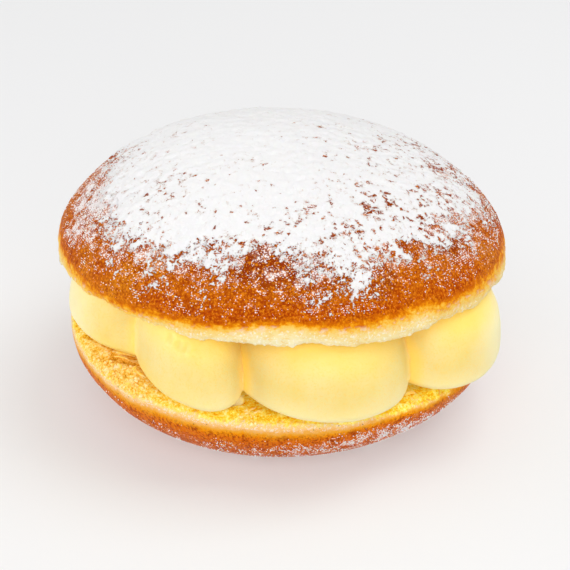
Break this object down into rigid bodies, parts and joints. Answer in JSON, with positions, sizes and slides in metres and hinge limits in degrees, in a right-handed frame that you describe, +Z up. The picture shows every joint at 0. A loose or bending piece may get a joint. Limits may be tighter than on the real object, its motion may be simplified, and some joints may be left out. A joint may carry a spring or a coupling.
{
  "type": "cream-filled berliner",
  "caption": "Round fried bun cut across, filled with piped custard cream and dusted with icing sugar, resting on a flat underside.",
  "frame": {"origin": "middle of the flat spot on the underside that the bun rests on", "axes": "+Z up out of that spot, -Y towards the front with the widest show of cream, +X to the right seen from the front"},
  "size_m": [0.1003, 0.102, 0.0627],
  "materials": {
    "crust_sugared": "matt golden brown crust, pale at the cut edge, its top under icing sugar",
    "custard_cream": "smooth pale yellow custard cream with a soft satin surface",
    "crust_and_crumb": "golden brown crust with a pale collar and an open yellow crumb on the cut face"
  },
  "bodies": {
    "root": {"top_half": "crust_sugared", "cream_filling": "custard_cream", "bottom_half": "crust_and_crumb"}
  },
  "joints": []
}
